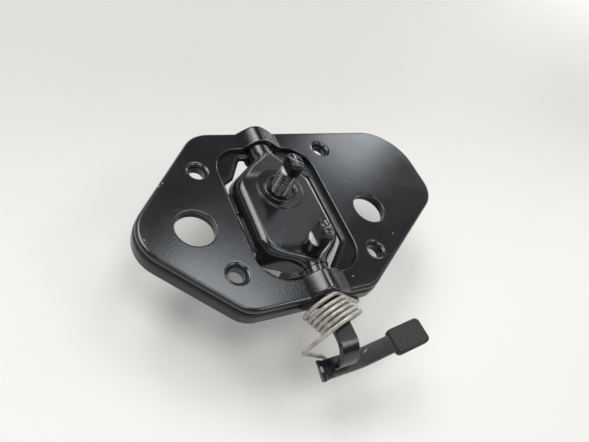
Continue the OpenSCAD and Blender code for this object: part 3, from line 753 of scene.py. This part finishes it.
def rocker():
    bm = bmesh.new()
    rows = [rocker_row(NECK_FRONT, 1, NECK_R - END_CHAMFER), rocker_row(NECK_FRONT + END_CHAMFER, 1, NECK_R)]
    rows += [rocker_row(y, 1, NECK_R) for y in (-33, -28, ROCKER_NEAR - 0.2)]
    shares = [k / TAPER_STEPS for k in range(TAPER_STEPS + 1)]
    rows += [rocker_row(ROCKER_NEAR + ROCKER_TAPER * t, 1 - t) for t in shares]
    flat_start, flat_end = ROCKER_NEAR + ROCKER_TAPER, ROCKER_FAR - ROCKER_TAPER
    for k in range(1, FLAT_STEPS):
        y = mix(flat_start, flat_end, k / FLAT_STEPS)
        rows.append(rocker_row(y, max(flat_start - y, y - flat_end) / ROCKER_TAPER))
    rows += [rocker_row(ROCKER_FAR - ROCKER_TAPER * (1 - t), t) for t in shares]
    rows += [rocker_row(y, 1, NECK_R) for y in (ROCKER_FAR + 0.2, 36, 41, NECK_BACK - END_CHAMFER)]
    rows.append(rocker_row(NECK_BACK, 1, NECK_R - END_CHAMFER))
    skin(bm, rows)
    sag, sag_seed = 0.06, Vector((3.1, 1.7, 0.4))
    for v in bm.verts:
        x, y, z = v.co
        flat = ease((16 - abs(x)) / 5) * ease((z + 1.5) / 1.5) * ease((22 - abs(y - 4)) / 6)
        v.co.z += sag * flat * noise.noise(v.co / 9 + sag_seed)
    for ring in BOSSES:
        boss(bm, *ring)
    for lo, hi, r in STOPS:
        block(bm, lo, hi, r)
    swept_bar(bm, strap_stations(), STRAP_W, STRAP_T, 0.55, 0.5)
    bmesh.ops.remove_doubles(bm, verts=bm.verts[:], dist=1e-5)
    piece(bm, "rocker_pressing", rocker_coat, "rocker", ["rocker"], weighted=True)


# Pins

LEDGE_DROP = 0.9


def tip_shape(top, ledge, flat_x, seed, thread=None):
    """Point mover for a pin: thread between two heights, two flats above the ledge, knocks at the tip."""
    def shape(p, a):
        if thread and thread[0] < p.z < thread[1]:
            fade = ease((p.z - thread[0]) / 0.8) * ease((thread[1] - p.z) / 0.5)
            t = (p.z / PITCH - a / (2 * math.pi)) % 1.0
            tooth = min(1.0, max(0.0, 1.25 * abs(2 * t - 1) - 0.06))
            r = mix(mix(PIN_R, THREAD_ROOT_R, fade), PIN_R, ease(tooth) * 0.35 + tooth * 0.65)
            p = Vector((r * math.cos(a), r * math.sin(a), p.z))
        if p.z > ledge - LEDGE_DROP:
            reach = mix(flat_x, PIN_R, max(0.0, (ledge - p.z) / LEDGE_DROP))
            p = Vector((max(-reach, min(reach, p.x)), p.y, p.z))
        knock = ease((p.z - (top - 1.5)) / 1.2)
        if knock > 0:
            where = p * 0.75 + Vector((seed, 0, 0))
            broad, fine = noise.noise_vector(where), noise.noise_vector(p * 2.1)
            p = p + broad * 0.28 * knock + fine * 0.10 * knock
            p.z -= 0.25 * knock * abs(noise.noise(where * 0.6))
            p.z = min(p.z, top)
        return p
    return shape


def tip_profile(ledge, top):
    """Pairs (radius, z) from the ledge to the middle of the tip."""
    r = PIN_R
    rows = [(r, ledge), (r, ledge + 0.02)]
    rows += [(r, mix(ledge + 0.25, top - 0.8, k / 8)) for k in range(9)]
    rows += [(r - 0.25, top - 0.5), (r - 0.5, top - 0.25), (r - 0.8, top - 0.02)]
    rows += [(mix(r - 0.8, 0.02, k / 9), top) for k in range(1, 10)]
    return rows


# Cone, waist and shank of the striker, upwards from its lowest point
STRIKER_LOWER = [(0.02, 0), (2.2, 0), (2.42, 0.07), (2.6, 0.25), (6.3, 2.8), (6.45, 3.0), (6.5, 3.2),
                 (6.5, 4.3), (6.42, 4.45), (6.2, 4.55), (3.7, 5.2), (3.35, 5.4), (3.2, 5.7), (3.2, 13.0),
                 (3.3, 13.4), (3.85, 14.0), (4.0, 14.3), (4.0, 16), (4.0, 20), (4.0, 25.5)]


def striker_pin():
    bm = bmesh.new()
    low, high, ledge, top = -14.1, 12.6, 12.7, 18.3
    profile = [(r, BELOW + z) for r, z in STRIKER_LOWER]
    steps = int((high - low) / (PITCH / 10))
    profile += [(PIN_R, mix(low, high, k / steps)) for k in range(1, steps + 1)]
    profile += tip_profile(ledge, top)
    lathe(bm, profile, STRIKER_Y, tip_shape(top, ledge, 2.7, 3.0, (low, high)))
    piece(bm, "striker_pin_turned", striker_coat, "rocker", ["striker_pin"], sharp=50)


# Outline (x, z) of the hook's blade
BLADE = [(-4.8, -3.7), (4.8, -3.7), (6.4, -7.7), (6.4, BELOW + 3), (4, BELOW + 0.5), (0, BELOW),
         (-5.2, BELOW + 1), (-11, BELOW + 5), (-11, BELOW + 7), (-3.6, BELOW + 7), (-2.6, BELOW + 8)]
BLADE_HALF, BLADE_ROUND = 2.2, 0.6


def safety_hook():
    bm = bmesh.new()
    ledge, top, under = 9.6, 16.2, -1.2
    profile = [(0.02, under - 3), (4.8, under - 3), (5.08, under - 2.88), (5.2, under - 2.6),
               (5.2, under - 0.4), (5.08, under - 0.12), (4.8, under), (PIN_R, under)]
    profile += [(PIN_R, mix(under + 0.5, 8.6, k / 10)) for k in range(11)]
    profile += [(PIN_R, z) for z in (8.7, 9.0, 9.3)]
    profile += tip_profile(ledge, top)
    lathe(bm, profile, HOOK_Y, tip_shape(top, ledge, 1.9, 11.0))
    rows = [[Vector((x, HOOK_Y + side * BLADE_HALF, z)) for x, z in BLADE] for side in (-1, 1)]
    round_edges(bm, [v for ring in skin(bm, rows) for v in ring], BLADE_ROUND)
    piece(bm, "safety_hook_forged", hook_coat, "rocker", ["safety_hook"], sharp=45)


# Lever and grip

BEND_X, BEND_UP, BEND_SIDE = 9.6, math.radians(10.0), math.radians(4.0)
finger_frame = (Matrix.Translation((BEND_X, LEVER_Y, LEVER_TOP)) @ Matrix.Rotation(BEND_SIDE, 4, 'Z')
                @ Matrix.Rotation(-BEND_UP, 4, 'Y'))
TORN_FROM, TORN_OVER = -4.4, 3.6


def lever():
    bm = bmesh.new()
    across, upright = Vector((0, 1, 0)), Vector((0, 0, 1))
    turn = finger_frame.to_3x3()
    middle = -LEVER_T / 2
    stations = []
    for x in (-8.4, -8.2, -7.8, -7.3, -6.7, -6.0, -5.2, -4.2, -2, 3, 6.5):
        stations.append((Vector((x, LEVER_Y, LEVER_TOP + middle)), across, upright))
    start = stations[-1][0]
    corner, after = (finger_frame @ Vector((x, 0, middle)) for x in (0, 3.2))
    for k in range(1, 8):
        t = k / 8
        p = start * (1 - t) ** 2 + corner * 2 * t * (1 - t) + after * t * t
        side, up = (v.lerp(turn @ v, ease(t)).normalized() for v in (across, upright))
        stations.append((p, side, up))
    for x in (3.2, 8, 14, 20, 26.9, 27.2):
        stations.append((finger_frame @ Vector((x, 0, middle)), turn @ across, turn @ upright))
    swept_bar(bm, stations, LEVER_W, LEVER_T, 0.5, 0.45)
    for v in bm.verts:
        torn = ease((TORN_FROM - v.co.x) / TORN_OVER)
        broad, fine = noise.noise_vector(v.co * 0.55), noise.noise_vector(v.co * 1.7)
        v.co += broad * 0.9 * torn + fine * 0.3 * torn
        v.co.z -= 0.7 * torn * ease((LEVER_Y - v.co.y + 1) / 4)
    piece(bm, "lever_bar", lever_coat, "rocker", ["lever"], weighted=True)


def finger_grip():
    bm = bmesh.new()
    x0, x1, half, corner_r, edge_r = 15.0, 30.8, 5.2, 2.0, 1.1
    corners = [(x, y, corner_r) for x, y in ((x0, -half), (x1, -half), (x1, half), (x0, half))]
    inset = edge_r + 0.5
    rows = [(inset, TOP, 0.0)] + top_round(edge_r, 8) + under_round(edge_r, 8) + [(inset, UNDER, 0.0)]
    pressing(bm, [(outline(corners, 12), 1, rows)], [lambda x: 0.8, lambda x: NO_SKIRT, lambda x: -3.2])
    bm.transform(finger_frame)
    piece(bm, "finger_grip_moulding", grip_plastic, "rocker", ["finger_grip"], weighted=True)


# Return spring

COIL_R, COIL_TURNS = 7.7, 5
COIL_AT, COIL_STEP = Vector((-2.4, -37.2, -4.2)), Vector((0.65, -1.8, 0.49))
YAW, LIFT = math.radians(11.6), math.radians(-2.5)
coil_axis = Vector((math.sin(YAW) * math.cos(LIFT), -math.cos(YAW) * math.cos(LIFT), math.sin(LIFT)))
coil_side = Vector((math.cos(YAW), math.sin(YAW), 0))
coil_up = coil_axis.cross(coil_side)
WIRE_R, WIRE_SIDES, COIL_STEPS = 0.8, 18, 260


def return_spring():
    anchor, anchor_in = Vector((18, -37.5, -9.4)), Vector((18.6, -33.2, -9.4))
    bend, hook = Vector((-15.2, -50.7, -8.6)), Vector((-2.8, -52.2, -15.9))
    end = Vector((-1.8, -58.9, -15.9))
    dx, dz = anchor.x - COIL_AT.x, anchor.z - COIL_AT.z
    start_a = math.atan2(dz, dx) + math.acos(COIL_R / math.hypot(dx, dz))
    leave_a = math.radians(360 * COIL_TURNS + 134)

    def coil(a):
        turns = (a - math.pi / 2) / (2 * math.pi)
        at = COIL_AT + COIL_STEP * (turns - 0.2 + 0.35 * ease(turns + 0.2))
        return at + (coil_side * math.cos(a) + coil_up * math.sin(a)) * COIL_R

    def rounded(a, b, c, d, steps=10):
        """Bend at b between a and c, starting d before it."""
        p, q = b + (a - b).normalized() * d, b + (c - b).normalized() * d
        return [p.lerp(b, k / steps).lerp(b.lerp(q, k / steps), k / steps) for k in range(steps + 1)]

    path = [anchor_in, anchor_in.lerp(anchor, 0.25)]
    path += rounded(anchor_in, anchor, coil(start_a), 2.2)
    path += [coil(mix(start_a, leave_a, k / COIL_STEPS)) for k in range(COIL_STEPS + 1)]
    path += rounded(coil(leave_a), bend, hook, 2)
    path += rounded(bend, hook, end, 2)
    path += [end.lerp(hook, 0.3), end]
    n = len(path)
    dirs = [(path[min(i + 1, n - 1)] - path[max(i - 1, 0)]).normalized() for i in range(n)]
    normal = dirs[0].cross(Vector((0.3, 0.2, 1))).normalized()
    rows = []
    for i, p in enumerate(path):
        normal = (normal - dirs[i] * normal.dot(dirs[i])).normalized()
        other = dirs[i].cross(normal)
        turns = [2 * math.pi * k / WIRE_SIDES for k in range(WIRE_SIDES)]
        rows.append([p + (normal * math.cos(a) + other * math.sin(a)) * WIRE_R for a in turns])
    for at, ahead in ((0, dirs[0]), (-1, -dirs[-1])):
        small = [path[at] + (v - path[at]) * 0.8 for v in rows[at]]
        rows[at] = [v + ahead * 0.15 for v in rows[at]]
        rows.insert(0 if at == 0 else len(rows), small)
    bm = bmesh.new()
    skin(bm, rows)
    obj = piece(bm, "return_spring_wire", spring_steel, None, ["return_spring"], rides=False)
    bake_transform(obj)


cover_plate()
base_tray()
rocker()
striker_pin()
safety_hook()
lever()
finger_grip()
return_spring()

for node, material in (("weld_nut", nut_coat), ("lock_nut", zinc)):
    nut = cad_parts[node]
    nut.data.materials.clear()
    nut.data.materials.append(material)

# Floor, light and camera

floor_finish = Shader("floor_finish")
# The floor's colour is darker towards the back, a painted shade on the far floor; its glow for seen rays
# grows with distance
FLOOR_NEAR, FLOOR_GLOW = (0.62, 0.608, 0.586, 1), (1.0, 0.985, 0.955, 1)
FLOOR_SHADED_FAR = (0.42, 0.410, 0.394, 1), (0.44, 0.430, 0.414, 1)
near = floor_finish.step(floor_finish.split()["Y"], -60, 160, 1.0, 0.0)
cloudy = floor_finish.blend(floor_finish.noise(60, detail=2), *FLOOR_SHADED_FAR)
far_off = floor_finish.step(floor_finish.length(floor_finish.mm), 350, 1500, 0.12, 0.87)
floor_finish.set(Base_Color=floor_finish.blend(near, cloudy, FLOOR_NEAR), Roughness=0.6,
                 Emission_Color=FLOOR_GLOW,
                 Emission_Strength=floor_finish.math('MULTIPLY', floor_finish.seen(), far_off))
bm = bmesh.new()
bmesh.ops.create_circle(bm, cap_ends=True, radius=4000, segments=96)
bmesh.ops.translate(bm, vec=(0, 0, BELOW - 0.05), verts=bm.verts[:])
bmesh.ops.scale(bm, vec=(MM, MM, MM), verts=bm.verts[:])
floor_mesh = bpy.data.meshes.new("floor")
bm.to_mesh(floor_mesh)
bm.free()
floor_mesh.materials.append(floor_finish.material)
floor = bpy.data.objects.new("floor", floor_mesh)
scene.collection.objects.link(floor)

WHITE, DAYLIGHT = (1, 1, 1), (0.90, 0.96, 1.0)
# Name, azimuth and elevation in degrees, then distance, width and height in metres, brightness and colour
LAMPS = [
    ("wall", 121, 54, 1.2, 1.10, 0.66, 2.6, WHITE),
    ("wall_core", 124, 55, 1.19, 0.80, 0.44, 4.2, WHITE),
    ("ceiling", 240, 78, 1.2, 0.50, 0.50, 4.8, WHITE),
    ("window_high", 46, 63, 1.2, 0.34, 0.30, 4.6, DAYLIGHT),
    ("window_veil", 45, 61, 1.19, 0.34, 0.40, 1.3, DAYLIGHT),
    ("window_mid", 41, 46, 1.2, 0.15, 0.24, 0.8, DAYLIGHT),
    ("window_low", 40, 31, 1.2, 0.165, 0.20, 3.4, DAYLIGHT),
    ("low_veil", 40, 31, 1.19, 0.26, 0.30, 1.0, DAYLIGHT),
    ("low_right", 31, 19, 1.2, 0.28, 0.23, 8.0, WHITE),
    ("key", 0, 48, 1.3, 0.6, 0.7, 0.9, WHITE),
    ("front_left", 220, 40, 1.2, 0.60, 0.44, 0.7, WHITE),
    ("front_right", 322, 52, 1.2, 0.46, 0.36, 4.2, WHITE),
]


def softbox(name, azimuth, elevation, distance, width, height, radiance, color):
    """Area lamp that faces the object; its power follows from its size and brightness."""
    lamp = bpy.data.lights.new(name, 'AREA')
    lamp.shape = 'RECTANGLE'
    lamp.size, lamp.size_y = width, height
    lamp.energy = radiance * math.pi * width * height
    lamp.color = color
    obj = bpy.data.objects.new(name, lamp)
    az, el = math.radians(azimuth), math.radians(elevation)
    at = Vector((math.cos(az) * math.cos(el), math.sin(az) * math.cos(el), math.sin(el)))
    obj.location = at * distance
    obj.rotation_euler = at.to_track_quat('Z', 'Y').to_euler()
    obj.visible_camera = False
    scene.collection.objects.link(obj)


for lamp_row in LAMPS:
    softbox(*lamp_row)

# The room is bright near the horizon and dim above; what is seen of it directly is never over-bright
LOW_LIGHT, HIGH_LIGHT, BACKDROP = 1.8, 0.16, 0.88
world = bpy.data.worlds.new("studio")
scene.world = world
world.use_nodes = True
sky = Nodes(world.node_tree)
direction = sky.node("ShaderNodeTexCoord").outputs["Generated"]
height = sky.node("ShaderNodeSeparateXYZ", {0: direction}).outputs["Z"]
level = sky.step(height, 0.16, 0.34, LOW_LIGHT, HIGH_LIGHT)
shown = sky.math('MINIMUM', level, BACKDROP)
strength = sky.node("ShaderNodeMix", {"Factor": sky.seen(), "A": level, "B": shown}).outputs[0]
back = world.node_tree.nodes["Background"]
sky.put(back.inputs["Color"], (0.96, 0.98, 1.0, 1))
sky.put(back.inputs["Strength"], strength)

camera_data = bpy.data.cameras.new("camera")
PHOTO_WIDTH, FOCAL_PIXELS = 589, 500
camera_data.sensor_width = 36
camera_data.lens = 36 * FOCAL_PIXELS / PHOTO_WIDTH
camera_data.clip_start = 0.005
camera = bpy.data.objects.new("camera", camera_data)
CAMERA_AT = (-0.1043, -0.0910, 0.1400)
RIGHT, UP, BACK = (0.8395, -0.3880, 0.3804), (0.1048, 0.8027, 0.5873), (-0.5332, -0.4532, 0.7144)
turned = Matrix((RIGHT, UP, BACK)).transposed().to_4x4()
camera.matrix_world = Matrix.Translation(CAMERA_AT) @ turned
scene.collection.objects.link(camera)
scene.camera = camera
scene.view_settings.view_transform = 'Standard'
